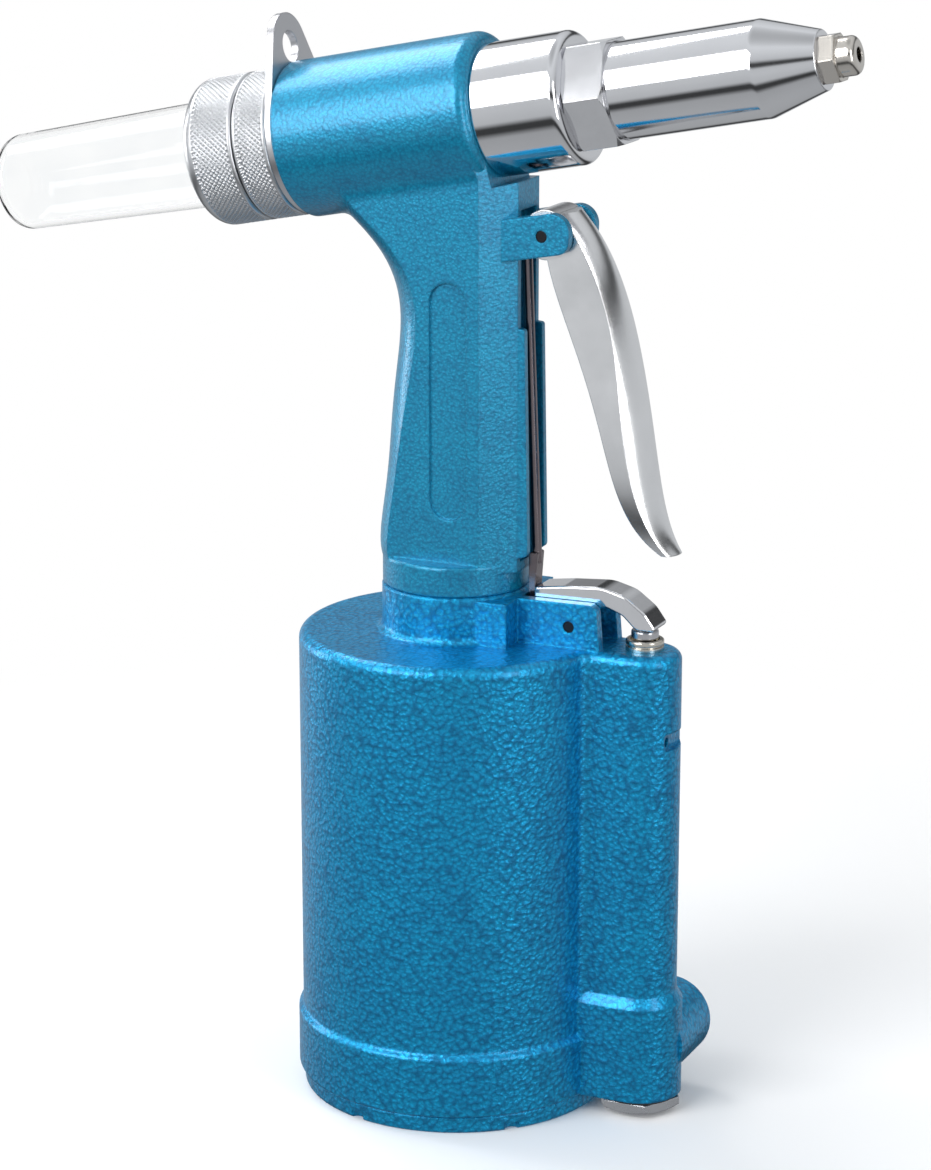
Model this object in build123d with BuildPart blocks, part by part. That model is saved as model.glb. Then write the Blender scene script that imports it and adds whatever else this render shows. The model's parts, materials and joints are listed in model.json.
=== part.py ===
from build123d import *
from math import atan2, cos, degrees, radians, sin, sqrt
import os

# Air-hydraulic rivet gun. Air drives a large piston in the base cylinder, its thin ram pushes
# oil up the handle, and the oil draws a piston and its jaws back along the head.
#
# Frame: the origin is the centre of the face the tool stands on, +Z is up, +X is the way the
# nose points and +Y is the side the air enters. The head's axis rises towards the nose.
# Places along the head's axis are measured from the point above the origin, nose positive.

# ---------------------------------------------------------------- fits and small features
running_gap = 0.06        # radial play of a sliding or turning fit
thread_gap = 0.05         # radial play of a screwed or pressed-in piece
clear_gap = 0.35          # least distance between pieces that only pass each other
edge_break = 0.5          # chamfer along the seams between castings
seal_gap = 0.05           # play of a rubber seal in its groove
pin_play = 0.02           # radial play of a pressed pin in its casting

# ---------------------------------------------------------------- air cylinder
cylinder_radius = 41.8
cylinder_wall = 3.3
band_rise = 1.2           # the foot of the cylinder stands out as a thicker band
band_top = 21.0
deck_height = 127.2       # flat top of the cylinder
deck_wall = 8.0
deck_round = 2.6
neck_radius = 19.7
neck_height = 12.6        # the neck stands this far above the deck
neck_foot_round = 2.0

# ---------------------------------------------------------------- base cap
cap_inset = 0.3           # the cap is this much smaller than the cylinder
cap_height = 4.6
cap_seam = 0.4
cap_spigot_height = 4.5
cap_notch_count = 6
cap_notch_radius = 2.0
cap_lip = 1.2             # how far the cap's rim stands out beyond its seam
cap_groove = (1.2, 3.3)   # groove for the cap's seal, measured down from the spigot's top
cap_groove_depth = 2.1

# ---------------------------------------------------------------- air piston and ram
piston_rest = 14.0        # underside of the air piston at rest
piston_height = 13.0
piston_play = 0.5
ram_radius = 6.0
ram_top_drop = 1.8        # the ram ends this far below the neck's top at rest
ram_shank_radius = 4.5
ram_shank_length = 10.0
nut_height = 3.0
nut_across_flats = 14.0
bumper_outer = 30.0
bumper_inner = 20.0
piston_groove_rise = 4.0
piston_groove_height = 5.0
piston_groove_depth = 3.5

# ---------------------------------------------------------------- handle
# Heights of the handle, trigger, rod and head are measured from the top of the cylinder's neck
collar_radius = 19.5
collar_height = 8.2
grip_half_width = 14.5
grip_front = 20.2
grip_shoulder = 12.6      # where the flat sides turn in towards the rod channel
spigot_radius = 14.0
spigot_length = 29.8
oil_bore_play = 0.5       # room for oil round the ram
oil_bore_rise = 98.2
gland_wall_round_ram = 3.0
ram_groove = (1.2, 2.0)   # lip groove of the ram's seal, measured out from the ram
gland_length = 20.0
seal_height = 4.0
lock_nut_radius = 20.0
lock_nut_slots = 4
oil_port_radius = 1.6
# Rows of the grip: height, rearmost point, and how far the rounded back stands out
grip_rows = [
    (5.7, -18.8, 6.5),
    (28.2, -18.2, 7.0),
    (50.2, -16.3, 8.5),
    (69.2, -14.4, 9.5),
    (85.2, -18.4, 9.5),
    (100.2, -33.0, 9.5),
    (114.2, -34.0, 9.5),
]
head_blend = 8.0          # hollow round where the grip runs into the head
sleeve_clearance = 1.4    # air between the front of the grip and the chrome sleeve

# ---------------------------------------------------------------- rod channel and finger recess
channel_half_width = 4.75
channel_floor = 17.2
rib_half_width = 6.6
rib_rise = 69.7
rib_top_front = 22.0
rib_foot_front = 23.1
recess_width = 10.3
recess_length = 62.0
recess_place = (4.0, 50.7)
recess_depth = 0.8

# ---------------------------------------------------------------- trigger, its ears and pin
trigger_pivot_place = (27.9, 94.6)
trigger_head_radius = 6.4
rod_arm_half_width = 4.3  # the trigger's rear arm, which carries the rod's eye
rod_arm_radius = 3.0
trigger_half_width = 7.1
ear_half_width = 10.0
ear_reach = 9.0
pin_radius = 1.55
# Rows of the trigger blade: height, inner edge, side ridge, front crown, half width
trigger_rows = [
    (100.2, 27.9, 31.8, 34.0, 6.6),
    (88.2, 28.4, 39.6, 42.6, 7.1),
    (70.2, 34.8, 46.2, 49.1, 7.7),
    (50.2, 42.3, 49.2, 53.4, 8.5),
    (30.2, 48.2, 52.8, 56.8, 8.0),
    (13.7, 59.3, 60.8, 62.9, 4.4),
]

# ---------------------------------------------------------------- trigger rod
rod_radius = 1.4
rod_eye_place = (20.7, 94.6)
rod_eye_radius = 3.0
rod_eye_half_thickness = 1.8
rod_neck = 6.5            # the flat eye runs this far down before the rod is round
rod_pin_radius = 1.0
rod_top_place = (19.6, 93.2)
rod_foot_place = (22.9, 9.2)
paddle_front = 23.5
paddle_rear = 21.6
paddle_drop = 3.2
paddle_half_width = 2.2
hook_reach = 27.0
hook_thickness = 1.6
paddle_length = 12.4

# ---------------------------------------------------------------- lower lever and its ears
lever_pivot_place = (35.3, -6.9)
lever_half_width = 4.6
lever_edge = 0.4
lever_hub_radius = 4.3
lower_ear_inner = 5.0
lower_ear_outer = 8.0
lower_ear_length = 8.7    # from the lever's pin to the front of its ears
block_front = 21.0
block_half_width = 15.5
block_drop = 0.8
# Outline of the lower lever in the middle plane: x, height, corner round. Its top and its
# underside are measured from its pin, and its tip from the valve's axis and the deck.
lever_top = [(-11.1, 8.7, 1.0), (-2.9, 9.8, 6), (7.7, 10.6, 10)]
lever_tip = [
    (-4.0, 14.6, 8), (1.5, 10.6, 6), (4.3, 6.8, 0.6), (3.7, 5.8, 0.6), (-0.9, 5.8, 3), (-4.7, 9.4, 4),
]
lever_under = [
    (8.2, 5.7, 2), (4.2, 1.1, 2), (0, -4.1, 2), (-4.1, 1.1, 2), (-5.3, 5.7, 1.0), (-11.1, 5.7, 0.6),
]

# ---------------------------------------------------------------- air valve
valve_stand_off = 11.7    # from the cylinder's wall to the valve's axis
valve_radius = 9.7
valve_foot_radius = 11.3
valve_foot_top = 31.2
valve_foot_slope = 2.8
valve_corner_round = 3.0
valve_chamber_bore = 7.6
valve_chamber_top = 46.0
valve_upper_bore = 5.0
valve_upper_drop = 11.2   # the upper bore ends this far below the deck
valve_seat = 30.0
sleeve_bore = 3.55
window_size = 3.0         # windows that let the air through the valve sleeve
window_depth = 1.5
stem_radius = 1.5
stem_rise = 5.4           # the stem's tip stands this far above the deck
stem_head_radius = 5.0
stem_head_height = 3.4
button_radius = 3.6       # head of the stem, which sinks into the hollow top of the screw
button_height = 2.3
seal_thickness = 0.8
spool_height = 5.5
screw_radius = 5.0
screw_head_height = 2.9
screw_band = (1.1, 1.7)   # narrow groove round the screw's head
screw_band_radius = 4.5
screw_hollow = 0.5        # floor of the screw's hollow top, above the deck
screw_thread_radius = 4.0
plug_across_flats = 20.0
plug_hex_height = 2.8
plug_thread_length = 8.0
washer_radius = 10.4
washer_thickness = 0.8
exhaust_drop = 23.2
exhaust_radius = 1.3
exhaust_offset = 4.0      # the hole lies this far to the side of the middle plane
exhaust_notch = (1.8, 12.0, 4.6)   # depth, width and height of the slot round the exhaust
passage_radius = 1.8

# ---------------------------------------------------------------- air inlet
inlet_offset = 1.0        # the inlet lies this far in front of the valve's axis
inlet_height = 18.3
inlet_radius = 11.2
inlet_reach = 22.0
inlet_port_radius = 5.72
inlet_port_length = 12.0
inlet_passage_radius = 4.0

# ---------------------------------------------------------------- head
head_tilt = 11.0
head_rise = 122.2         # height of the head's axis above the neck, on the handle's axis
head_wall = 4.8
head_rear = -43.5
head_front = 11.8
head_bore = 15.5
head_lip_round = 3.0
sleeve_shoulder = 1.5     # the sleeve is this much larger than the head's bore
sleeve_front = 35.5
sleeve_spigot_length = 3.8
gland_wall = 6.5
draw_rod_radius = 7.0
lock_nut_length = 11.0
lock_nut_rise = 0.7       # the nut's flats stand this far above the barrel
rod_groove = (1.6, 4.0)   # groove for the draw rod's seal, measured from the sleeve's rear
rod_groove_depth = 2.5
sleeve_groove = (1.0, 2.8)
sleeve_groove_depth = 1.9

# ---------------------------------------------------------------- oil filling screw
fill_boss_radius = 5.0
fill_boss_rise = 0.5
fill_thread_radius = 2.5
fill_passage_radius = 1.2
fill_head_radius = 4.2
fill_head_height = 2.2
fill_socket = 2.5
fill_washer = 0.8

# ---------------------------------------------------------------- barrel and nosepiece
barrel_wall = 2.3
barrel_play = 0.5         # room between the jaw case and the barrel
cone_start = 85.0
nose_start = 100.0
nose_seat_radius = 7.5
nose_thread_radius = 5.0
nose_hex_across_flats = 11.5
nose_hex_length = 4.2
nose_tip_radius = 4.9
nose_tip = 108.8
nose_bore = 1.9
tail_end = 81.3

# ---------------------------------------------------------------- hydraulic piston
draw_piston_rear = -7.0
draw_piston_front = 4.0
draw_rod_front = 51.5
draw_bore = 3.2
tube_radius = 5.0
tube_bore = 3.6
tube_rear = -68.0

# ---------------------------------------------------------------- jaw set
jaw_case_wall = 1.3
jaw_case_rear = 54.0
jaw_case_front = 82.4
jaw_case_play = 1.2       # the jaw case is bored this much wider than the draw rod
jaw_mouth = 5.5
jaw_cone_rear = 67.5
jaw_count = 3
jaw_front = 80.9
jaw_rear = 68.5
jaw_gap = 1.3
jaw_bore = 1.7
coupler_overlap = 6.5     # how much of the draw rod the coupler screws over
coupler_spigot = 3.2
pusher_rear = 59.5
pusher_flange = 64.5      # the jaw spring pushes on this shoulder
pusher_shoulder = 68.0
pusher_front = 69.6
pusher_bore = 3.3
pusher_stem_radius = 4.6
pusher_play = 0.6

# ---------------------------------------------------------------- rear of the head
plate_thickness = 2.0
eye_height = 24.2
eye_radius = 4.1
lug_radius = 8.8
plate_rim = 3.5           # the plate's rim beyond the head's bore
ring_rim = 3.9
frame_cap_length = 9.9
collector_gap = 0.3
collector_ring_length = 15.3
cap_spring_seat = -36.0
tube_groove = (2.0, 4.5)  # groove for the tube's seal, measured from the cap's shoulder
tube_groove_depth = 2.0
tail_spigot_radius = 12.5
tail_spigot_length = 6.6
ring_shoulder_round = 3.5
ring_web = 1.6
ring_web_radius = 9.0
bottle_radius = 13.9
bottle_end_radius = 12.8
bottle_wall = 1.5
bottle_corner = 5.0
bottle_rear = -134.5

# ---------------------------------------------------------------- springs
return_wire = 1.2
return_coil_radius = 12.8
return_turns = 6
jaw_wire = 0.55
jaw_coil_radius = 6.0
jaw_turns = 4
valve_wire = 0.5
valve_coil_radius = 3.6
valve_turns = 8

# ---------------------------------------------------------------- derived places and planes
cylinder_bore = cylinder_radius - cylinder_wall
band_radius = cylinder_radius + band_rise
cap_radius = cylinder_radius - cap_inset
neck_top = deck_height + neck_height
block_top = neck_top - block_drop
cylinder_foot = cap_height + cap_seam
spigot_bottom = neck_top - spigot_length
ram_top = neck_top - ram_top_drop
oil_bore = ram_radius + oil_bore_play
oil_bore_top = neck_top + oil_bore_rise
gland_radius = ram_radius + gland_wall_round_ram
rib_top = neck_top + rib_rise
head_height = neck_top + head_rise
head_radius = head_bore + head_wall
sleeve_radius = head_bore + sleeve_shoulder
sleeve_groove_radius = head_bore - sleeve_groove_depth
plate_radius = head_bore + plate_rim
ring_radius = head_bore + ring_rim
rod_groove_radius = draw_rod_radius + rod_groove_depth
jaw_case_bore = draw_rod_radius + jaw_case_play
jaw_case_radius = jaw_case_bore + jaw_case_wall
pusher_radius = jaw_case_bore - pusher_play
barrel_bore = jaw_case_radius + barrel_play
barrel_radius = barrel_bore + barrel_wall
lock_nut_across_flats = 2 * (barrel_radius + lock_nut_rise)
valve_x = cylinder_radius + valve_stand_off
valve_upper_top = deck_height - valve_upper_drop
stem_top = deck_height + stem_rise
exhaust_height = deck_height - exhaust_drop
inlet_x = valve_x + inlet_offset
plug_bottom = cylinder_foot - washer_thickness - plug_hex_height
valve_foot_taper = degrees(atan2(valve_foot_radius - valve_radius, valve_foot_slope))
head_origin = Vector(0, 0, head_height)
head_along = Vector(cos(radians(head_tilt)), 0, sin(radians(head_tilt)))
head_up = Vector(-sin(radians(head_tilt)), 0, cos(radians(head_tilt)))
head_side = Plane(head_origin, x_dir=head_along, z_dir=(0, -1, 0))
upright = Plane((0, 0, 0), x_dir=(0, 0, 1), z_dir=(0, -1, 0))
valve_upright = Plane((valve_x, 0, 0), x_dir=(0, 0, 1), z_dir=(0, -1, 0))
inlet_side = Plane((inlet_x, 0, inlet_height), x_dir=(0, 1, 0), z_dir=(0, 0, 1))
plate_front = head_rear
plate_rear = plate_front - plate_thickness
frame_cap_rear = plate_rear - frame_cap_length
ring_front = frame_cap_rear - collector_gap
ring_rear = ring_front - collector_ring_length
bottle_front = ring_front - tail_spigot_length - 2.0
cap_top = cap_height + cap_seam + cap_spigot_height
deck_underside = deck_height - deck_wall
lock_nut_front = sleeve_front + lock_nut_length


def above_neck(place):
    """A place in the middle plane, from its x and its height above the neck."""
    return (place[0], neck_top + place[1])


trigger_pivot = above_neck(trigger_pivot_place)
rod_eye = above_neck(rod_eye_place)
rod_top = above_neck(rod_top_place)
rod_foot = above_neck(rod_foot_place)
lever_pivot = above_neck(lever_pivot_place)
recess_middle = above_neck(recess_place)
paddle_bottom = neck_top - paddle_drop
lower_ear_front = lever_pivot[0] + lower_ear_length


def head_section(place, turn=0):
    """Plane across the head's axis at a place along it; unturned, its y points up."""
    sideways = Vector(0, cos(radians(turn)), 0) + head_up * sin(radians(turn))
    return Plane(head_origin + head_along * place, x_dir=sideways, z_dir=head_along)


def turned(plane, outline, mode=Mode.ADD, arc=360):
    """Revolve (place along the axis, radius, corner round) points about the plane's x axis."""
    with BuildSketch(plane) as profile:
        with BuildLine():
            FilletPolyline(
                *[point[:2] for point in outline],
                radius=[point[2] if len(point) == 3 else 0 for point in outline],
                close=True,
            )
        make_face()
    revolve(profile.sketch, axis=Axis(plane.origin, plane.x_dir), revolution_arc=arc, mode=mode)


def tube(start, end, inner, outer):
    """Outline of a plain ring between two places along an axis."""
    return [(start, inner), (start, outer), (end, outer), (end, inner)]


def bore(plane, start, end, radius):
    """Cut a round hole along the plane's x axis."""
    turned(plane, [(start, 0), (start, radius), (end, radius), (end, 0)], Mode.SUBTRACT)


def across(points, half_width, radii=0, mode=Mode.ADD):
    """Extrude an outline drawn in the upright middle plane to both sides of it."""
    with BuildSketch(Plane.XZ) as profile:
        with BuildLine():
            FilletPolyline(*points, radius=radii, close=True)
        make_face()
    extrude(profile.sketch, amount=half_width, both=True, mode=mode)


def cross_hole(place, radius, half_width, mode=Mode.SUBTRACT):
    """Round hole or boss along Y, centred on the middle plane."""
    with BuildSketch(Plane.XZ) as profile:
        with Locations(place):
            Circle(radius)
    extrude(profile.sketch, amount=half_width, both=True, mode=mode)


def coil(direction, start, length, turns, radius, wire):
    """Helical spring between two places, measured over the wire."""
    helix_length = length - 2 * wire
    with BuildPart() as spring:
        with BuildLine() as path:
            first_coil = start + direction * wire
            Helix(helix_length / turns, helix_length, radius, center=first_coil, direction=direction)
        with BuildSketch(Plane(path.line @ 0, z_dir=path.line % 0)):
            Circle(wire)
        sweep()
    return spring


def on_head_surface(edge):
    """True for an edge on the round outside of the head casting, away from its rear end."""
    for share in (0.1, 0.5, 0.9):
        offset = edge @ share - head_origin
        along = offset.dot(head_along)
        height = (offset - head_along * along).length
        if abs(height - head_radius) > 0.02 or not head_rear + 1 < along < head_front - 0.5:
            return False
    return True


def write(piece, node):
    """Label a finished piece and write it as one STEP file."""
    piece.part.label = node
    export_step(piece.part, f"parts/{node}.step")


os.makedirs("parts", exist_ok=True)

# ================================================================ base
with BuildPart() as base_cap:
    turned(upright, [
        (0, 0), (0, cap_radius, 0.8), (cap_height, cap_radius, 0.5), (cap_height, cap_radius - cap_lip),
        (cylinder_foot, cap_radius - cap_lip), (cylinder_foot, cylinder_bore - thread_gap),
        (cap_top, cylinder_bore - thread_gap), (cap_top, 0),
    ])
    cap_groove_floor = cylinder_bore - cap_groove_depth
    turned(upright, tube(cap_top - cap_groove[1], cap_top - cap_groove[0],
                         cap_groove_floor, cylinder_bore + 1), Mode.SUBTRACT)
    with BuildSketch(Plane.XY):
        with PolarLocations(cap_radius, cap_notch_count, start_angle=15):
            Circle(cap_notch_radius)
    extrude(amount=cap_notch_radius, mode=Mode.SUBTRACT)
write(base_cap, "base_cap")

with BuildPart() as cap_seal:
    turned(upright, tube(cap_top - cap_groove[1] + seal_gap, cap_top - cap_groove[0] - seal_gap,
                         cap_groove_floor + seal_gap, cylinder_bore - pin_play))
write(cap_seal, "cap_seal")

with BuildPart() as bumper:
    turned(upright, [
        (cap_top, bumper_inner), (cap_top, bumper_outer),
        (piston_rest - clear_gap, bumper_outer, 1.0), (piston_rest - clear_gap, bumper_inner, 1.0),
    ])
write(bumper, "bumper")

# ================================================================ air cylinder casting
with BuildPart() as air_cylinder:
    turned(upright, [
        (cylinder_foot, 0), (cylinder_foot, band_radius, 0.6),
        (band_top, band_radius, 1.0), (band_top + 1.2, cylinder_radius, 1.0),
        (valve_foot_top, cylinder_radius), (valve_foot_top, 0),
    ])
    # The valve chamber stands against the cylinder's front, with a wider foot
    with BuildSketch(Plane.XY.offset(cylinder_foot)) as foot_outline:
        with Locations((valve_x, 0)):
            Circle(valve_foot_radius)
        with Locations((valve_x / 2, 0)):
            Rectangle(valve_x, 2 * valve_foot_radius)
    extrude(foot_outline.sketch, amount=valve_foot_top - cylinder_foot)
    with BuildSketch(Plane.XY.offset(valve_foot_top)) as slope_outline:
        with Locations((valve_x, 0)):
            Circle(valve_foot_radius)
        with Locations((valve_x / 2, 0)):
            Rectangle(valve_x, 2 * valve_foot_radius)
    extrude(slope_outline.sketch, amount=valve_foot_slope, taper=valve_foot_taper)
    with BuildSketch(Plane.XY.offset(valve_foot_top)) as chamber_outline:
        Circle(cylinder_radius)
        with Locations((valve_x, 0)):
            Circle(valve_radius)
        with Locations((valve_x / 2, 0)):
            Rectangle(valve_x, 2 * valve_radius)
        chamber_x = sqrt(cylinder_radius**2 - valve_radius**2)
        corners = chamber_outline.vertices().filter_by_position(Axis.X, chamber_x - 0.1, chamber_x + 0.1)
        fillet(corners, radius=valve_corner_round)
    extrude(chamber_outline.sketch, amount=deck_height - valve_foot_top)
    deck = air_cylinder.faces().filter_by(Axis.Z).sort_by(Axis.Z)[-1]
    fillet(deck.outer_wire().edges(), radius=deck_round)
    # Neck, with the block and the two ears that carry the lower lever
    neck_foot_radius = neck_radius + neck_foot_round + edge_break
    turned(upright, [
        (deck_height - 1, 0), (deck_height - 1, neck_foot_radius),
        (deck_height, neck_foot_radius), (deck_height, neck_radius, neck_foot_round),
        (neck_top - edge_break, neck_radius), (neck_top, neck_radius - edge_break), (neck_top, 0),
    ])
    with BuildSketch(Plane.XY.offset(deck_height - 1)) as block_outline:
        with Locations((block_front / 2 + 2, 0)):
            Rectangle(block_front - 4, 2 * block_half_width)
    extrude(block_outline.sketch, amount=block_top - deck_height + 1)
    across([
        (block_front - 3, deck_height - 1), (block_front - 3, block_top),
        (lower_ear_front - 2.6, block_top + 0.3), (lower_ear_front - 1, block_top - 1.1),
        (lower_ear_front, deck_height - 1),
    ], lower_ear_outer, [0, 0, 1.0, 1.5, 0])
    across([
        (block_front, deck_height), (block_front, block_top + 3),
        (lower_ear_front + 5, block_top + 3), (lower_ear_front + 5, deck_height),
    ], lower_ear_inner, 0, Mode.SUBTRACT)
    cross_hole(lever_pivot, pin_radius, lower_ear_outer + 1)
    # Air inlet boss, port and passage
    turned(inlet_side, [(0, 0), (0, inlet_radius), (inlet_reach, inlet_radius, 1.0), (inlet_reach, 0)])
    bore(inlet_side, inlet_reach - inlet_port_length, inlet_reach + 1, inlet_port_radius)
    bore(inlet_side, 0, inlet_reach, inlet_passage_radius)
    # Main bore and the bore for the handle's spigot
    turned(upright, [
        (0, 0), (0, cylinder_bore), (deck_underside, cylinder_bore, 2.0), (deck_underside, 0),
    ], Mode.SUBTRACT)
    bore(upright, deck_underside - 1, neck_top + 1, spigot_radius + thread_gap)
    # Stepped valve bore, the slanting passage to the cylinder and the exhaust
    bore(valve_upright, 0, valve_chamber_top, valve_chamber_bore)
    bore(valve_upright, valve_chamber_top - 1, valve_upper_top, valve_upper_bore)
    bore(valve_upright, valve_upper_top - 1, deck_height + 1, screw_thread_radius + thread_gap)
    passage_low = Vector(cylinder_bore - 1.5, 0, cap_top + 2.4)
    passage_high = Vector(valve_x - valve_chamber_bore + 1.5, 0, valve_seat + 5)
    passage = Plane(passage_low, x_dir=passage_high - passage_low, z_dir=(0, -1, 0))
    bore(passage, 0, (passage_high - passage_low).length, passage_radius)
    exhaust_side = Plane((valve_x, -exhaust_offset, exhaust_height), x_dir=(1, 0, 0), z_dir=(0, -1, 0))
    bore(exhaust_side, 0, valve_radius + 1, exhaust_radius)
    notch_depth, notch_width, notch_height = exhaust_notch
    with BuildSketch(Plane.YZ.offset(valve_x + valve_radius - notch_depth)) as notch:
        with Locations((0, exhaust_height)):
            RectangleRounded(notch_width, notch_height, notch_height / 3)
    extrude(notch.sketch, amount=notch_depth + 1, mode=Mode.SUBTRACT)
write(air_cylinder, "air_cylinder")

# ================================================================ air piston and ram
piston_top = piston_rest + piston_height
piston_edge = cylinder_bore - piston_play
ring_low = piston_rest + piston_groove_rise
ring_high = ring_low + piston_groove_height
ring_floor = piston_edge - piston_groove_depth
with BuildPart() as air_piston:
    turned(upright, [
        (piston_rest, ram_shank_radius + thread_gap), (piston_rest, piston_edge, 0.8),
        (ring_low, piston_edge), (ring_low, ring_floor), (ring_high, ring_floor),
        (ring_high, piston_edge), (piston_top, piston_edge, 0.8), (piston_top, ram_radius + thread_gap),
        (piston_rest + ram_shank_length, ram_radius + thread_gap),
        (piston_rest + ram_shank_length, ram_shank_radius + thread_gap),
    ])
write(air_piston, "air_piston")

with BuildPart() as air_piston_seal:
    turned(upright, [
        (ring_low + seal_gap, ring_floor + seal_gap),
        (ring_low + seal_gap, cylinder_bore - running_gap, 1.2),
        (ring_high - seal_gap, cylinder_bore - running_gap, 1.2),
        (ring_high - seal_gap, ring_floor + seal_gap),
    ])
write(air_piston_seal, "air_piston_seal")

with BuildPart() as ram:
    turned(upright, [
        (piston_rest - nut_height, 0), (piston_rest - nut_height, ram_shank_radius, 0.6),
        (piston_rest + ram_shank_length, ram_shank_radius), (piston_rest + ram_shank_length, ram_radius),
        (ram_top, ram_radius, 0.8), (ram_top, 0),
    ])
write(ram, "ram")

with BuildPart() as piston_nut:
    with BuildSketch(Plane.XY.offset(piston_rest - nut_height)):
        RegularPolygon(nut_across_flats / 2, 6, major_radius=False)
        Circle(ram_shank_radius + thread_gap, mode=Mode.SUBTRACT)
    extrude(amount=nut_height)
write(piston_nut, "piston_nut")

# ================================================================ handle and head casting
with BuildPart() as handle_body:
    turned(head_side, [
        (head_rear, 0), (head_rear, head_radius, 0.8),
        (head_front, head_radius, head_lip_round), (head_front, 0),
    ])
    for rise, rear, bulge in grip_rows:
        with BuildSketch(Plane.XY.offset(neck_top + rise)):
            with BuildLine():
                back = ThreePointArc(
                    (rear + bulge, -grip_half_width), (rear, 0), (rear + bulge, grip_half_width)
                )
                Polyline(
                    back @ 1, (grip_shoulder, grip_half_width), (grip_front, rib_half_width),
                    (grip_front, -rib_half_width), (grip_shoulder, -grip_half_width), back @ 0,
                )
            make_face()
    loft()
    fillet(handle_body.edges().filter_by(on_head_surface), radius=head_blend)
    # Keep the front of the grip clear of the sleeve that screws into the head
    front_face = head_origin + head_along * head_front
    step = front_face - head_up * (sleeve_radius + sleeve_clearance)
    step_end = step + head_along * 2 * grip_front
    top_end = front_face + head_along * 2 * grip_front + head_up * head_radius
    top = front_face + head_up * head_radius
    cut_corners = [(point.X, point.Z) for point in (step, step_end, top_end, top)]
    across(cut_corners, grip_half_width + 1, 0, Mode.SUBTRACT)
    # Housing of the trigger rod along the front of the grip
    across([
        (grip_shoulder, neck_top + collar_height - 1), (rib_foot_front, neck_top + collar_height + 2),
        (rib_top_front, rib_top), (grip_shoulder, rib_top + 1),
    ], rib_half_width, [0, 1.5, 0.8, 0])
    # Ears for the trigger, leaning as the head does
    along = (head_along.X, head_along.Z)
    front_x, front_z = trigger_pivot
    across([
        (front_x + ear_reach * along[0] - 1, front_z + ear_reach * along[1] + 5.4),
        (front_x - 16, front_z + 2.4), (front_x - 16, front_z - 8.2),
        (front_x + ear_reach * along[0] - 1.5, front_z + ear_reach * along[1] - 5.6),
    ], ear_half_width, [5.0, 0, 0, 3.5])
    # Round collar and the spigot that passes through the cylinder's neck
    turned(upright, [
        (spigot_bottom, 0), (spigot_bottom, spigot_radius, 0.6), (neck_top, spigot_radius),
        (neck_top, collar_radius - edge_break), (neck_top + edge_break, collar_radius),
        (neck_top + collar_height, collar_radius, 0.8), (neck_top + collar_height, 0),
    ])
    # Oval hollow for the fingers on both sides
    for side in (-1, 1):
        face_plane = Plane((0, side * grip_half_width, 0), x_dir=(1, 0, 0), z_dir=(0, -side, 0))
        with BuildSketch(face_plane) as hollow:
            with Locations((recess_middle[0], side * recess_middle[1])):
                SlotOverall(recess_length, recess_width, rotation=90)
        extrude(hollow.sketch, amount=recess_depth, mode=Mode.SUBTRACT)
    # Room for the trigger's round head between the ears, and the rod channel below it
    pocket = trigger_half_width + clear_gap
    cross_hole(trigger_pivot, trigger_head_radius + clear_gap + 0.15, pocket)
    across([
        (front_x, front_z - 16), (front_x, front_z + trigger_head_radius + 0.5),
        (front_x + 20, front_z + trigger_head_radius + 0.5), (front_x + 20, front_z - 16),
    ], pocket, 0, Mode.SUBTRACT)
    across([
        (channel_floor, neck_top + collar_height), (channel_floor, rod_eye[1] + rod_eye_radius + 2.4),
        (front_x, rod_eye[1] + rod_eye_radius + 2.4), (front_x, neck_top + collar_height),
    ], channel_half_width, 0, Mode.SUBTRACT)
    cross_hole(trigger_pivot, pin_radius, ear_half_width + 1)
    # Boss of the oil filling screw, on the far side near the front of the oil chamber
    fill_place = head_origin + head_along * (draw_piston_front + 2)
    fill_side = Plane(fill_place, x_dir=(0, 1, 0), z_dir=(0, 0, 1))
    fill_face = head_radius + fill_boss_rise
    turned(fill_side, [
        (head_bore + 1, 0), (head_bore + 1, fill_boss_radius),
        (fill_face, fill_boss_radius, 0.6), (fill_face, 0),
    ])
    # Bores: head, oil column, ram gland, filling hole and the passage between column and head
    bore(head_side, head_rear - 1, head_front + 1, head_bore)
    bore(upright, spigot_bottom - 1, oil_bore_top, oil_bore)
    bore(upright, spigot_bottom - 1, spigot_bottom + gland_length + seal_height, gland_radius)
    bore(fill_side, head_bore + 1.2, head_radius + 2, fill_thread_radius)
    bore(fill_side, head_bore - 2, head_radius, fill_passage_radius)
    port_low = Vector(2.5, 0, oil_bore_top - 4)
    port_high = head_origin + head_along * (draw_piston_front + 2.2) - head_up * (head_bore - 2)
    port = Plane(port_low, x_dir=port_high - port_low, z_dir=(0, -1, 0))
    bore(port, 0, (port_high - port_low).length, oil_port_radius)
write(handle_body, "handle_body")

# ================================================================ inside the handle
with BuildPart() as handle_lock_nut:
    lock_nut_bottom = spigot_bottom + edge_break
    turned(upright, tube(lock_nut_bottom, deck_underside, spigot_radius + thread_gap, lock_nut_radius))
    with BuildSketch(Plane.XY.offset(lock_nut_bottom)):
        with PolarLocations(lock_nut_radius, lock_nut_slots):
            Rectangle(5, 4)
    extrude(amount=deck_underside - lock_nut_bottom, mode=Mode.SUBTRACT)
write(handle_lock_nut, "handle_lock_nut")

with BuildPart() as ram_gland:
    turned(upright, tube(spigot_bottom, spigot_bottom + gland_length,
                         ram_radius + running_gap, gland_radius - thread_gap))
write(ram_gland, "ram_gland")

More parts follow.
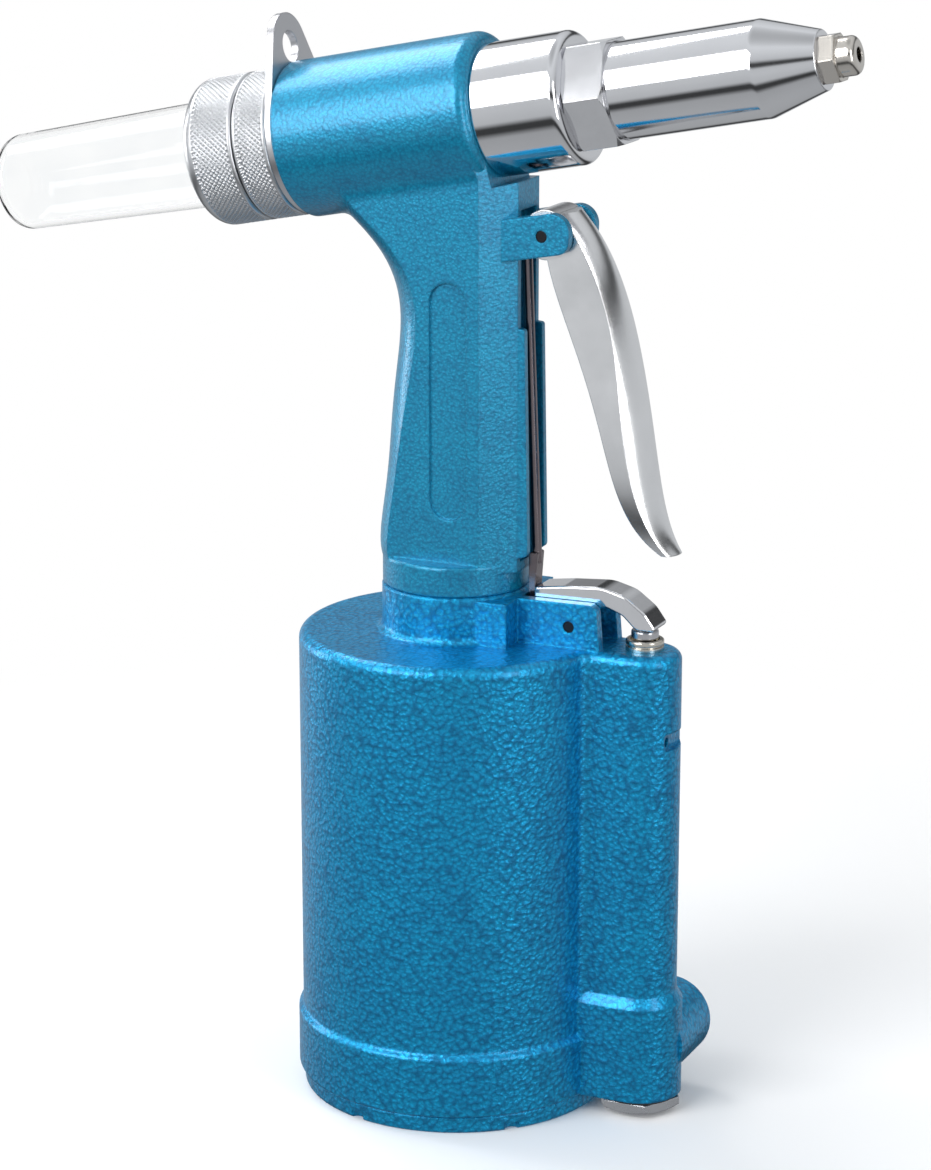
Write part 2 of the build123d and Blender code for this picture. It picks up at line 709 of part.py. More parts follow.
with BuildPart() as ram_seal:
    seal_low = spigot_bottom + gland_length
    turned(upright, tube(seal_low, seal_low + seal_height,
                         ram_radius + running_gap, gland_radius - thread_gap))
    turned(upright, tube(seal_low + 1.4, seal_low + seal_height + 1,
                         ram_radius + ram_groove[0], ram_radius + ram_groove[1]), Mode.SUBTRACT)
write(ram_seal, "ram_seal")

with BuildPart() as oil_screw_seal:
    turned(fill_side, tube(fill_face, fill_face + fill_washer,
                           fill_thread_radius + thread_gap, fill_head_radius + 0.2))
write(oil_screw_seal, "oil_screw_seal")

with BuildPart() as oil_screw:
    screw_seat = fill_face + fill_washer
    screw_end = screw_seat + fill_head_height
    turned(fill_side, [
        (head_bore + 1.4, 0), (head_bore + 1.4, fill_thread_radius - thread_gap),
        (screw_seat, fill_thread_radius - thread_gap), (screw_seat, fill_head_radius),
        (screw_end, fill_head_radius, 0.5), (screw_end, 0),
    ])
    with BuildSketch(Plane(fill_side.origin + Vector(0, screw_end, 0), z_dir=(0, 1, 0))):
        RegularPolygon(fill_socket / 2, 6, major_radius=False)
    extrude(amount=0.7 - fill_head_height, mode=Mode.SUBTRACT)
write(oil_screw, "oil_screw")

# ================================================================ front of the head
gland_front = head_front - sleeve_spigot_length + gland_wall
with BuildPart() as front_sleeve:
    gland_rear = head_front - sleeve_spigot_length
    turned(head_side, [
        (gland_rear, draw_rod_radius + running_gap), (gland_rear, head_bore - thread_gap),
        (head_front, head_bore - thread_gap), (head_front, sleeve_radius, 0.4),
        (sleeve_front, sleeve_radius, 2.0), (sleeve_front, barrel_radius + thread_gap),
        (gland_front, barrel_radius + thread_gap), (gland_front, draw_rod_radius + running_gap),
    ])
    turned(head_side, tube(gland_rear + rod_groove[0], gland_rear + rod_groove[1],
                           draw_rod_radius - 0.5, rod_groove_radius), Mode.SUBTRACT)
    turned(head_side, tube(gland_rear + sleeve_groove[0], gland_rear + sleeve_groove[1],
                           sleeve_groove_radius, head_bore + 0.5), Mode.SUBTRACT)
write(front_sleeve, "front_sleeve")

with BuildPart() as rod_seal:
    turned(head_side, tube(gland_rear + rod_groove[0] + seal_gap, gland_rear + rod_groove[1] - seal_gap,
                           draw_rod_radius + running_gap, rod_groove_radius - seal_gap))
write(rod_seal, "rod_seal")

with BuildPart() as sleeve_seal:
    turned(head_side, tube(gland_rear + sleeve_groove[0] + seal_gap, gland_rear + sleeve_groove[1] - seal_gap,
                           sleeve_groove_radius + seal_gap, head_bore - pin_play))
write(sleeve_seal, "sleeve_seal")

with BuildPart() as head_lock_nut:
    with BuildSketch(head_section(sleeve_front)):
        RegularPolygon(lock_nut_across_flats / 2, 6, major_radius=False)
    extrude(amount=lock_nut_length)
    corner_radius = lock_nut_across_flats / sqrt(3)
    turned(head_side, [
        (sleeve_front, 0), (sleeve_front, corner_radius - 1.4), (sleeve_front + 0.9, corner_radius),
        (lock_nut_front - 0.9, corner_radius), (lock_nut_front, corner_radius - 1.4), (lock_nut_front, 0),
    ], Mode.INTERSECT)
    bore(head_side, sleeve_front - 1, lock_nut_front + 1, barrel_radius + thread_gap)
write(head_lock_nut, "head_lock_nut")

with BuildPart() as frame_head:
    turned(head_side, [
        (gland_front + 1, barrel_bore), (gland_front + 1, barrel_radius, 0.5),
        (cone_start, barrel_radius, 3.0),
        (nose_start, nose_seat_radius, 0.4), (nose_start, nose_thread_radius + thread_gap),
        (cone_start - 1, nose_thread_radius + thread_gap), (cone_start - 1, barrel_bore),
    ])
write(frame_head, "frame_head")

with BuildPart() as nosepiece:
    hex_front = nose_start + nose_hex_length
    with BuildSketch(head_section(nose_start)):
        RegularPolygon(nose_hex_across_flats / 2, 6, major_radius=False)
    extrude(amount=nose_hex_length)
    nose_corner = nose_hex_across_flats / sqrt(3)
    turned(head_side, [
        (nose_start, 0), (nose_start, nose_corner - 0.5), (nose_start + 0.4, nose_corner),
        (hex_front - 0.4, nose_corner), (hex_front, nose_corner - 0.6), (hex_front, 0),
    ], Mode.INTERSECT)
    turned(head_side, [
        (tail_end, nose_bore), (tail_end, nose_thread_radius - 1.5), (tail_end + 1.2, nose_thread_radius),
        (nose_start + 0.2, nose_thread_radius), (hex_front - 0.1, nose_tip_radius),
        (nose_tip, nose_tip_radius, 1.6), (nose_tip, nose_bore),
    ])
    bore(head_side, tail_end - 1, nose_tip + 1, nose_bore)
write(nosepiece, "nosepiece")

# ================================================================ hydraulic piston and draw rod
groove_rear = draw_piston_rear + 3.5
groove_front = draw_piston_front - 3.5
groove_floor = head_bore - 2.6
with BuildPart() as hydraulic_piston:
    piston_radius = head_bore - running_gap
    turned(head_side, [
        (draw_piston_rear, tube_radius + thread_gap), (draw_piston_rear, piston_radius, 0.5),
        (groove_rear, piston_radius), (groove_rear, groove_floor), (groove_front, groove_floor),
        (groove_front, piston_radius), (draw_piston_front, piston_radius, 0.5),
        (draw_piston_front, draw_rod_radius, 0.8), (draw_rod_front, draw_rod_radius, 0.5),
        (draw_rod_front, draw_bore), (draw_piston_rear + 4, draw_bore),
        (draw_piston_rear + 4, tube_radius + thread_gap),
    ])
write(hydraulic_piston, "hydraulic_piston")

with BuildPart() as piston_seal:
    turned(head_side, [
        (groove_rear + seal_gap, groove_floor + seal_gap),
        (groove_rear + seal_gap, head_bore - pin_play, 0.6),
        (groove_front - seal_gap, head_bore - pin_play, 0.6),
        (groove_front - seal_gap, groove_floor + seal_gap),
    ])
write(piston_seal, "piston_seal")

with BuildPart() as mandrel_tube:
    turned(head_side, tube(tube_rear, draw_piston_rear + 4, tube_bore, tube_radius))
write(mandrel_tube, "mandrel_tube")

# ================================================================ jaw set
cone_slope = (jaw_case_bore - jaw_mouth) / (jaw_case_front - jaw_cone_rear)
with BuildPart() as jaw_case:
    turned(head_side, [
        (jaw_case_rear, jaw_case_bore), (jaw_case_rear, jaw_case_radius, 0.4),
        (jaw_case_front, jaw_case_radius, 1.2), (jaw_case_front, jaw_mouth), (jaw_cone_rear, jaw_case_bore),
    ])
write(jaw_case, "jaw_case")

coupler_rear = draw_rod_front - coupler_overlap
coupler_shoulder = jaw_case_rear + coupler_spigot
with BuildPart() as jaw_case_coupler:
    turned(head_side, [
        (coupler_rear, draw_rod_radius + thread_gap), (coupler_rear, jaw_case_radius, 0.6),
        (jaw_case_rear, jaw_case_radius, 0.3), (jaw_case_rear, jaw_case_bore - thread_gap),
        (coupler_shoulder, jaw_case_bore - thread_gap), (coupler_shoulder, jaw_mouth),
        (draw_rod_front, jaw_mouth), (draw_rod_front, draw_rod_radius + thread_gap),
    ])
write(jaw_case_coupler, "jaw_case_coupler")


def cone_radius(place):
    """Radius of the jaw case's inner cone at a place along the head."""
    return jaw_mouth + cone_slope * (jaw_case_front - place)


for number in range(jaw_count):
    sector = 360 / jaw_count
    jaw_side = Plane(head_origin, x_dir=head_along, z_dir=head_section(0, number * sector).x_dir * -1)
    with BuildPart() as jaw:
        turned(jaw_side, [
            (jaw_rear + 2, jaw_bore), (jaw_rear, cone_radius(jaw_rear) - clear_gap),
            (jaw_front, cone_radius(jaw_front) - clear_gap), (jaw_front, jaw_bore),
        ], arc=sector)
        for turn in (0, sector):
            edge = head_section(jaw_rear - 1, number * sector + turn)
            with BuildSketch(edge) as slit:
                with Locations((0, jaw_case_bore)):
                    Rectangle(jaw_gap, 2 * jaw_case_bore)
            extrude(slit.sketch, amount=jaw_front - jaw_rear + 2, mode=Mode.SUBTRACT)
    write(jaw, f"jaw_{number + 1}")

with BuildPart() as jaw_pusher:
    turned(head_side, [
        (pusher_rear, pusher_bore), (pusher_rear, pusher_stem_radius), (pusher_flange, pusher_stem_radius),
        (pusher_flange, pusher_radius), (pusher_shoulder, pusher_radius), (pusher_front, pusher_bore),
    ])
write(jaw_pusher, "jaw_pusher")

# ================================================================ rear of the head
with BuildPart() as hanger_plate:
    with BuildSketch(head_section(plate_rear)):
        Circle(plate_radius)
        with Locations((0, eye_height)):
            Circle(lug_radius)
        make_hull()
        with Locations((0, eye_height)):
            Circle(eye_radius, mode=Mode.SUBTRACT)
        Circle(head_bore + thread_gap, mode=Mode.SUBTRACT)
    extrude(amount=plate_thickness)
write(hanger_plate, "hanger_plate")

with BuildPart() as frame_cap:
    turned(head_side, [
        (cap_spring_seat, tube_radius + running_gap), (cap_spring_seat, head_bore - thread_gap, 0.5),
        (plate_rear, head_bore - thread_gap), (plate_rear, ring_radius, 0.8),
        (frame_cap_rear, ring_radius, 0.8),
        (frame_cap_rear, tail_spigot_radius), (frame_cap_rear - tail_spigot_length, tail_spigot_radius, 0.5),
        (frame_cap_rear - tail_spigot_length, tube_radius + running_gap),
    ])
    turned(head_side, tube(plate_rear - tube_groove[1], plate_rear - tube_groove[0],
                           tube_radius - 0.5, tube_radius + tube_groove_depth), Mode.SUBTRACT)
write(frame_cap, "frame_cap")

with BuildPart() as tube_seal:
    turned(head_side, tube(plate_rear - tube_groove[1] + seal_gap, plate_rear - tube_groove[0] - seal_gap,
                           tube_radius + running_gap, tube_radius + tube_groove_depth - seal_gap))
write(tube_seal, "tube_seal")

with BuildPart() as collector_ring:
    turned(head_side, [
        (ring_front, tail_spigot_radius + running_gap), (ring_front, ring_radius, 0.8),
        (ring_rear, ring_radius, ring_shoulder_round), (ring_rear, bottle_radius + thread_gap),
        (bottle_front, bottle_radius + thread_gap), (bottle_front, ring_web_radius),
        (bottle_front + ring_web, ring_web_radius),
        (bottle_front + ring_web, tail_spigot_radius + running_gap),
    ])
write(collector_ring, "collector_ring")

with BuildPart() as collector_bottle:
    turned(head_side, [
        (bottle_front, bottle_radius - bottle_wall), (bottle_front, bottle_radius, 0.4),
        (ring_rear - 4, bottle_radius, 20), (bottle_rear, bottle_end_radius, bottle_corner), (bottle_rear, 0),
        (bottle_rear + bottle_wall, 0),
        (bottle_rear + bottle_wall, bottle_end_radius - bottle_wall, bottle_corner - bottle_wall),
        (ring_rear - 4, bottle_radius - bottle_wall, 20),
    ])
write(collector_bottle, "collector_bottle")

# ================================================================ trigger
with BuildPart() as trigger:
    for rise, inner, ridge, crown, half_width in trigger_rows:
        with BuildSketch(Plane.XY.offset(neck_top + rise)):
            with BuildLine():
                front = ThreePointArc((ridge, -half_width), (crown, 0), (ridge, half_width))
                Polyline(front @ 1, (inner, half_width), (inner, -half_width), front @ 0)
            make_face()
    loft()
    cross_hole(trigger_pivot, trigger_head_radius, trigger_half_width, Mode.ADD)
    with BuildSketch(Plane.XZ) as arm:
        with Locations(trigger_pivot):
            Circle(trigger_head_radius - 1)
        with Locations(rod_eye):
            Circle(rod_arm_radius)
        make_hull()
    extrude(arm.sketch, amount=rod_arm_half_width, both=True)
    across([
        (rod_eye[0] - 8, front_z - 14), (rod_eye[0] - 8, front_z + 14),
        (rod_eye[0] + rod_eye_radius + 1.2, front_z + 14), (rod_eye[0] + rod_eye_radius + 1.2, front_z - 14),
    ], rod_eye_half_thickness + clear_gap, [0, 0, 2, 2], Mode.SUBTRACT)
    cross_hole(trigger_pivot, pin_radius + running_gap, trigger_half_width + 2)
    cross_hole(rod_eye, rod_pin_radius + 0.01, trigger_half_width + 2)
write(trigger, "trigger")

with BuildPart() as trigger_pin:
    cross_hole(trigger_pivot, pin_radius - pin_play, ear_half_width - 0.3, Mode.ADD)
write(trigger_pin, "trigger_pin")

with BuildPart() as rod_pin:
    cross_hole(rod_eye, rod_pin_radius, rod_arm_half_width - 0.2, Mode.ADD)
write(rod_pin, "rod_pin")

with BuildPart() as trigger_rod:
    rod_start = Vector(rod_foot[0], 0, rod_foot[1])
    rod_run = Vector(rod_top[0], 0, rod_top[1]) - rod_start
    rod_plane = Plane(rod_start, x_dir=rod_run, z_dir=(0, -1, 0))
    rod_end = rod_run.length - 1
    turned(rod_plane, [(-2, 0), (-2, rod_radius), (rod_end, rod_radius), (rod_end, 0)])
    cross_hole(rod_eye, rod_eye_radius, rod_eye_half_thickness, Mode.ADD)
    across([
        (rod_eye[0] - rod_eye_radius + 0.2, rod_eye[1]), (rod_eye[0] + 1, rod_eye[1] - rod_eye_radius + 0.4),
        (rod_top[0] + rod_radius, rod_eye[1] - rod_neck),
        (rod_top[0] - rod_radius + 0.2, rod_eye[1] - rod_neck),
    ], rod_radius + 0.1)
    cross_hole(rod_eye, rod_pin_radius + clear_gap, rod_eye_half_thickness + 1)
    paddle_top = paddle_bottom + paddle_length + 1
    across([
        (paddle_rear, paddle_top), (paddle_front + 0.6, paddle_top), (paddle_front, paddle_top - 8),
        (paddle_front, paddle_bottom + hook_thickness), (hook_reach, paddle_bottom + hook_thickness),
        (hook_reach, paddle_bottom), (paddle_rear, paddle_bottom),
    ], paddle_half_width, [0.5, 0.5, 0, 0.3, 0.5, 0.5, 1.0])
write(trigger_rod, "trigger_rod")

# ================================================================ lower lever
with BuildPart() as lower_lever:
    pin_x, pin_height = lever_pivot
    outline = [(pin_x + x, pin_height + rise, corner) for x, rise, corner in lever_top]
    outline += [(valve_x + x, deck_height + rise, corner) for x, rise, corner in lever_tip]
    outline += [(pin_x + x, pin_height + rise, corner) for x, rise, corner in lever_under]
    across([point[:2] for point in outline], lever_half_width, [point[2] for point in outline])
    sides = lower_lever.faces().filter_by(Axis.Y)
    chamfer(sides.edges(), length=lever_edge)
    cross_hole(lever_pivot, lever_hub_radius, lever_half_width, Mode.ADD)
    cross_hole(lever_pivot, pin_radius + running_gap, lever_half_width + 1)
write(lower_lever, "lower_lever")

with BuildPart() as lever_pin:
    cross_hole(lever_pivot, pin_radius - pin_play, lower_ear_outer - 0.3, Mode.ADD)
write(lever_pin, "lever_pin")

# ================================================================ air valve
with BuildPart() as valve_plug:
    hex_top = plug_bottom + plug_hex_height
    with BuildSketch(Plane.XY.offset(plug_bottom)):
        with Locations((valve_x, 0)):
            RegularPolygon(plug_across_flats / 2, 6, major_radius=False)
    extrude(amount=plug_hex_height)
    turned(valve_upright, [
        (plug_bottom, 0), (plug_bottom, plug_across_flats / 2),
        (plug_bottom + 0.8, plug_across_flats / sqrt(3)),
        (hex_top, plug_across_flats / sqrt(3)), (hex_top, 0),
    ], Mode.INTERSECT)
    turned(valve_upright, [
        (hex_top, 0), (hex_top, valve_chamber_bore - thread_gap),
        (hex_top + plug_thread_length, valve_chamber_bore - thread_gap, 0.5),
        (hex_top + plug_thread_length, 0),
    ])
    bore(valve_upright, hex_top + 2, hex_top + plug_thread_length + 1, valve_coil_radius + 1.4)
write(valve_plug, "valve_plug")

with BuildPart() as plug_washer:
    turned(valve_upright, tube(hex_top, cylinder_foot, valve_chamber_bore, washer_radius))
write(plug_washer, "plug_washer")

with BuildPart() as valve_sleeve:
    outer = valve_chamber_bore - thread_gap
    turned(valve_upright, [
        (valve_seat, sleeve_bore), (valve_seat, outer), (valve_seat + 2, outer),
        (valve_seat + 2, outer - window_depth), (valve_seat + 8, outer - window_depth),
        (valve_seat + 8, outer), (valve_chamber_top, outer), (valve_chamber_top, sleeve_bore),
    ])
    with BuildSketch(Plane.XY.offset(valve_seat + 5)) as window:
        with Locations((valve_x, 0)):
            Rectangle(2 * outer + 1, window_size)
            Rectangle(window_size, 2 * outer + 1)
    extrude(window.sketch, amount=window_size / 2, both=True, mode=Mode.SUBTRACT)
write(valve_sleeve, "valve_sleeve")

stem_head_top = valve_seat - clear_gap
with BuildPart() as valve_seal:
    turned(valve_upright, tube(stem_head_top - seal_thickness, stem_head_top, stem_radius, stem_head_radius))
write(valve_seal, "valve_seal")

spool_bottom = valve_chamber_top + clear_gap
with BuildPart() as valve_stem:
    turned(valve_upright, [
        (stem_head_top - seal_thickness - stem_head_height, 0),
        (stem_head_top - seal_thickness - stem_head_height, stem_head_radius, 0.5),
        (stem_head_top - seal_thickness, stem_head_radius), (stem_head_top - seal_thickness, stem_radius),
        (spool_bottom, stem_radius), (spool_bottom, sleeve_bore - running_gap, 0.3),
        (spool_bottom + spool_height, sleeve_bore - running_gap, 0.3),
        (spool_bottom + spool_height, stem_radius),
        (stem_top - button_height, stem_radius), (stem_top - button_height, button_radius, 0.3),
        (stem_top, button_radius, 0.7), (stem_top, 0),
    ])
write(valve_stem, "valve_stem")

with BuildPart() as valve_screw:
    turned(valve_upright, [
        (valve_upper_top, stem_radius + running_gap), (valve_upper_top, screw_thread_radius),
        (deck_height, screw_thread_radius), (deck_height, screw_radius),
        (deck_height + screw_band[0], screw_radius), (deck_height + screw_band[0], screw_band_radius),
        (deck_height + screw_band[1], screw_band_radius), (deck_height + screw_band[1], screw_radius),
        (deck_height + screw_head_height, screw_radius, 0.5),
        (deck_height + screw_head_height, button_radius + clear_gap),
        (deck_height + screw_hollow, button_radius + clear_gap),
        (deck_height + screw_hollow, stem_radius + running_gap),
    ])
write(valve_screw, "valve_screw")

# ================================================================ springs
return_start = head_origin + head_along * cap_spring_seat
return_spring = coil(head_along, return_start, draw_piston_rear - cap_spring_seat, return_turns,
                     return_coil_radius, return_wire)
write(return_spring, "return_spring")

jaw_start = head_origin + head_along * coupler_shoulder
jaw_spring_length = pusher_flange - coupler_shoulder
jaw_spring = coil(head_along, jaw_start, jaw_spring_length, jaw_turns, jaw_coil_radius, jaw_wire)
write(jaw_spring, "jaw_spring")

spring_floor = hex_top + 2
spring_top = stem_head_top - seal_thickness - stem_head_height
valve_spring = coil(Vector(0, 0, 1), Vector(valve_x, 0, spring_floor), spring_top - spring_floor, valve_turns,
                    valve_coil_radius, valve_wire)
write(valve_spring, "valve_spring")
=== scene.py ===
# %% [markdown]
# # An air-hydraulic rivet gun, finished for a studio picture
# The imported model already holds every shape, size and joint of the tool. This lesson gives it
# surfaces: hammered blue enamel, polished chrome, knurled aluminium and a clear bottle. It also
# makes the few pieces whose detail is too fine for the design model, such as the knurling.

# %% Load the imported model
import json
import math

import bmesh
import bpy
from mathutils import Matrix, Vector


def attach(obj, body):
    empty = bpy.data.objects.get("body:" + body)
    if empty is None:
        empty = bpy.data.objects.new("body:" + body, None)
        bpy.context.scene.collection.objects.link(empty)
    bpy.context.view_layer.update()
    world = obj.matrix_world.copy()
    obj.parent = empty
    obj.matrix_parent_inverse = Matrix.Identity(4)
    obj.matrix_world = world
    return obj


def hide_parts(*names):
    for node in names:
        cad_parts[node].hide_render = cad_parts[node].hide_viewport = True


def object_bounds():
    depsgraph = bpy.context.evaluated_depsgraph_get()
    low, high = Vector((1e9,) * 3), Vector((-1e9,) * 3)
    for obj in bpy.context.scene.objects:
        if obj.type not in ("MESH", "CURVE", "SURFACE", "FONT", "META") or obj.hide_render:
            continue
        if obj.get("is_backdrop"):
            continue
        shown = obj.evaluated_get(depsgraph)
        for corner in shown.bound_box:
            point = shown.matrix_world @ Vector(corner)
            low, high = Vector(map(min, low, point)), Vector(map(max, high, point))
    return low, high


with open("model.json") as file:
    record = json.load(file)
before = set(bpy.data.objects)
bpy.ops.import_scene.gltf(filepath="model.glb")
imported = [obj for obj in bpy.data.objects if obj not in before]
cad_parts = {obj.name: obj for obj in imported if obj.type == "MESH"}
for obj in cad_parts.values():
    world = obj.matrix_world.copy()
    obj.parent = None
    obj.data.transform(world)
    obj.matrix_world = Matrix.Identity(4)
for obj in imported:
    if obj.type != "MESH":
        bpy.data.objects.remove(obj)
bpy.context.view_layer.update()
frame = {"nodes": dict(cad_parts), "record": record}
nodes = frame["nodes"]
mounts = {mount["name"]: mount for mount in frame["record"]["mounts"]}
MM = 0.001

# %% [markdown]
# ## Where the head lies
# The head leans back, so nothing on it is square to the world. Two mounts on its axis, the nose
# bore and the hanger plate, tell where it points. Every turned piece is made about that axis.

# %% The head's axis
head_along = Vector(mounts["nose_bore"]["axis"])
head_side = Vector((0, 1, 0))
head_up = head_along.cross(head_side)
nose_place = Vector(mounts["nose_bore"]["pos_m"])
head_origin = nose_place - head_along * (nose_place.x / head_along.x)
print("head axis passes", tuple(round(c, 4) for c in head_origin))


def on_head(along, radius=0.0, angle=0.0):
    """A point beside the head's axis; angle 0 is straight up."""
    outward = head_up * math.cos(angle) + head_side * math.sin(angle)
    return head_origin + head_along * along + outward * radius


def head_reach(node, least_radius=0.0):
    """How far a node's skin reaches along the head, and its largest radius, beyond a radius."""
    found = []
    for vertex in nodes[node].data.vertices:
        offset = vertex.co - head_origin
        along = offset.dot(head_along)
        radius = (offset - head_along * along).length
        if radius >= least_radius:
            found.append((along, radius))
    places = [along for along, radius in found]
    return min(places), max(places), max(radius for along, radius in found)


# %% [markdown]
# ## Helpers for materials
# A finish here is a small tree of nodes that ends in one Principled shader. Texture patterns use
# object coordinates, which are real metres, so a pattern keeps its true size on every piece.

# %% Material helpers


def new_finish(name):
    """An empty material with one Principled shader, its nodes and its link maker."""
    material = bpy.data.materials.new(name)
    material.use_nodes = True
    tree = material.node_tree
    tree.nodes.clear()
    shader = tree.nodes.new("ShaderNodeBsdfPrincipled")
    output = tree.nodes.new("ShaderNodeOutputMaterial")
    tree.links.new(shader.outputs["BSDF"], output.inputs["Surface"])
    return material, tree, shader


def place_noise(tree, scale, detail, roughness=0.5):
    """Noise in real metres; scale counts its features per metre."""
    noise = tree.nodes.new("ShaderNodeTexNoise")
    noise.inputs["Scale"].default_value = scale
    noise.inputs["Detail"].default_value = detail
    noise.inputs["Roughness"].default_value = roughness
    coordinates = tree.nodes.new("ShaderNodeTexCoord")
    tree.links.new(coordinates.outputs["Object"], noise.inputs["Vector"])
    return noise


def ramp(tree, source, stops):
    """Turn a value from 0 to 1 into colours; stops are (place, colour)."""
    node = tree.nodes.new("ShaderNodeValToRGB")
    elements = node.color_ramp.elements
    while len(elements) < len(stops):
        elements.new(0.5)
    for element, (place, colour) in zip(elements, stops):
        element.position = place
        element.color = (*colour, 1)
    tree.links.new(source, node.inputs["Fac"])
    return node.outputs["Color"]


def spread(tree, source, low, high):
    """Map a value from 0 to 1 onto low to high."""
    node = tree.nodes.new("ShaderNodeMapRange")
    node.inputs["To Min"].default_value = low
    node.inputs["To Max"].default_value = high
    tree.links.new(source, node.inputs["Value"])
    return node.outputs["Result"]


def blend_colours(tree, factor, first, second, mode="MIX"):
    """Mix two colours, each a socket or a plain colour."""
    node = tree.nodes.new("ShaderNodeMix")
    node.data_type = "RGBA"
    node.blend_type = mode
    if isinstance(factor, float):
        node.inputs["Factor"].default_value = factor
    else:
        tree.links.new(factor, node.inputs["Factor"])
    for value, socket in ((first, node.inputs[6]), (second, node.inputs[7])):
        if isinstance(value, tuple):
            socket.default_value = (*value, 1)
        else:
            tree.links.new(value, socket)
    return node.outputs[2]


def raise_bumps(tree, shader, height, distance, strength=1.0, edge_round=None):
    """Bump from a height, on top of edges softened by a small radius."""
    bump = tree.nodes.new("ShaderNodeBump")
    bump.inputs["Strength"].default_value = strength
    bump.inputs["Distance"].default_value = distance
    tree.links.new(height, bump.inputs["Height"])
    if edge_round:
        soft_edge = tree.nodes.new("ShaderNodeBevel")
        soft_edge.samples = 4
        soft_edge.inputs["Radius"].default_value = edge_round
        tree.links.new(soft_edge.outputs["Normal"], bump.inputs["Normal"])
    tree.links.new(bump.outputs["Normal"], shader.inputs["Normal"])


# %% [markdown]
# ## Hammered enamel
# The castings are sprayed with hammer-finish enamel. As it dries, the leafing pigment gathers
# into little dished cells a millimetre or two across, darker along the veins between them. A
# Voronoi texture gives the cells, and noise bends them so that no two are alike.

# %% Blue finishes
CAST_EDGE_ROUND = 0.8 * MM


def hammered_enamel(name, light, middle, dark, cell, depth, roughness, flake, metallic, coat):
    """Metallic enamel with dished cells; cell is their size in metres."""
    material, tree, shader = new_finish(name)
    # A slow noise pushes the cells about, so that none is a plain polygon.
    drift = place_noise(tree, 0.6 / cell, 3.0, 0.6)
    coordinates = tree.nodes.new("ShaderNodeTexCoord")
    push = tree.nodes.new("ShaderNodeVectorMath")
    push.operation = "MULTIPLY_ADD"
    push.inputs[1].default_value = (1.3 * cell,) * 3
    tree.links.new(drift.outputs["Color"], push.inputs[0])
    tree.links.new(coordinates.outputs["Object"], push.inputs[2])
    cells = tree.nodes.new("ShaderNodeTexVoronoi")
    cells.feature = "SMOOTH_F1"
    cells.inputs["Scale"].default_value = 1 / cell
    cells.inputs["Smoothness"].default_value = 0.35
    tree.links.new(push.outputs["Vector"], cells.inputs["Vector"])
    # A wide cloud varies the shade over the casting, and a fine one makes the metal flakes.
    cloud = place_noise(tree, 0.09 / cell, 4.0)
    fine = place_noise(tree, 3.2 / cell, 6.0, 0.75)
    body = ramp(tree, cells.outputs["Distance"], [(0.08, light), (0.42, middle), (0.78, dark)])
    sparkle_stops = [(0.32, (0.62, 0.70, 0.78)), (0.52, (1, 1, 1)), (0.74, (1.25, 1.2, 1.15))]
    sparkle = ramp(tree, fine.outputs["Fac"], sparkle_stops)
    body = blend_colours(tree, flake, body, sparkle, "MULTIPLY")
    shade_stops = [(0.3, (0.86, 0.90, 0.93)), (0.7, (1.06, 1.05, 1.03))]
    shade = ramp(tree, cloud.outputs["Fac"], shade_stops)
    body = blend_colours(tree, 1.0, body, shade, "MULTIPLY")
    tree.links.new(body, shader.inputs["Base Color"])
    dullness = spread(tree, fine.outputs["Fac"], roughness - 0.08, roughness + 0.12)
    tree.links.new(dullness, shader.inputs["Roughness"])
    shader.inputs["Metallic"].default_value = metallic
    shader.inputs["Coat Weight"].default_value = coat
    shader.inputs["Coat Roughness"].default_value = 0.2
    # The relief is the cells with a quarter as much of the fine noise on them.
    height = tree.nodes.new("ShaderNodeMath")
    height.operation = "MULTIPLY_ADD"
    height.inputs[1].default_value = 0.25
    tree.links.new(fine.outputs["Fac"], height.inputs[0])
    tree.links.new(cells.outputs["Distance"], height.inputs[2])
    raise_bumps(tree, shader, height.outputs["Value"], depth, 0.9, CAST_EDGE_ROUND)
    return material


casting_blue = hammered_enamel(
    "hammered_blue", (0.003, 0.400, 0.740), (0.002, 0.320, 0.620), (0.001, 0.200, 0.420),
    cell=1.25 * MM, depth=0.22 * MM, roughness=0.34, flake=0.8, metallic=0.7, coat=0.25,
)
handle_blue = hammered_enamel(
    "handle_blue", (0.003, 0.320, 0.540), (0.002, 0.270, 0.470), (0.001, 0.200, 0.370),
    cell=0.85 * MM, depth=0.09 * MM, roughness=0.36, flake=0.9, metallic=0.5, coat=0.4,
)
print("made", casting_blue.name, "and", handle_blue.name)

# %% [markdown]
# ## Metals
# All the metals share one recipe: a base colour that wanders a little, a roughness that follows
# handling marks, and a grain. What differs is the numbers. Turned pieces also carry fine rings
# about their axis, which a noise that runs only along that axis gives.

# %% Metal finishes
EDGE_ROUND = 0.4 * MM
TURNED_EDGE_ROUND = 0.5 * MM
POLISH_DEPTH = 0.002 * MM
TURNED_WANDER = 0.05


def metal(name, colour, rough, grain=900.0, depth=POLISH_DEPTH, wander=0.06):
    """Bare or plated metal; rough is the smoothest and dullest roughness on it."""
    material, tree, shader = new_finish(name)
    smudge = place_noise(tree, 55.0, 5.0, 0.65)
    fine = place_noise(tree, grain, 4.0, 0.7)
    low = tuple(channel * (1 - wander) for channel in colour)
    high = tuple(min(1.0, channel * (1 + wander)) for channel in colour)
    body = ramp(tree, smudge.outputs["Fac"], [(0.3, low), (0.7, high)])
    tree.links.new(body, shader.inputs["Base Color"])
    tree.links.new(spread(tree, smudge.outputs["Fac"], *rough), shader.inputs["Roughness"])
    shader.inputs["Metallic"].default_value = 1.0
    raise_bumps(tree, shader, fine.outputs["Fac"], depth, 1.0, EDGE_ROUND)
    return material


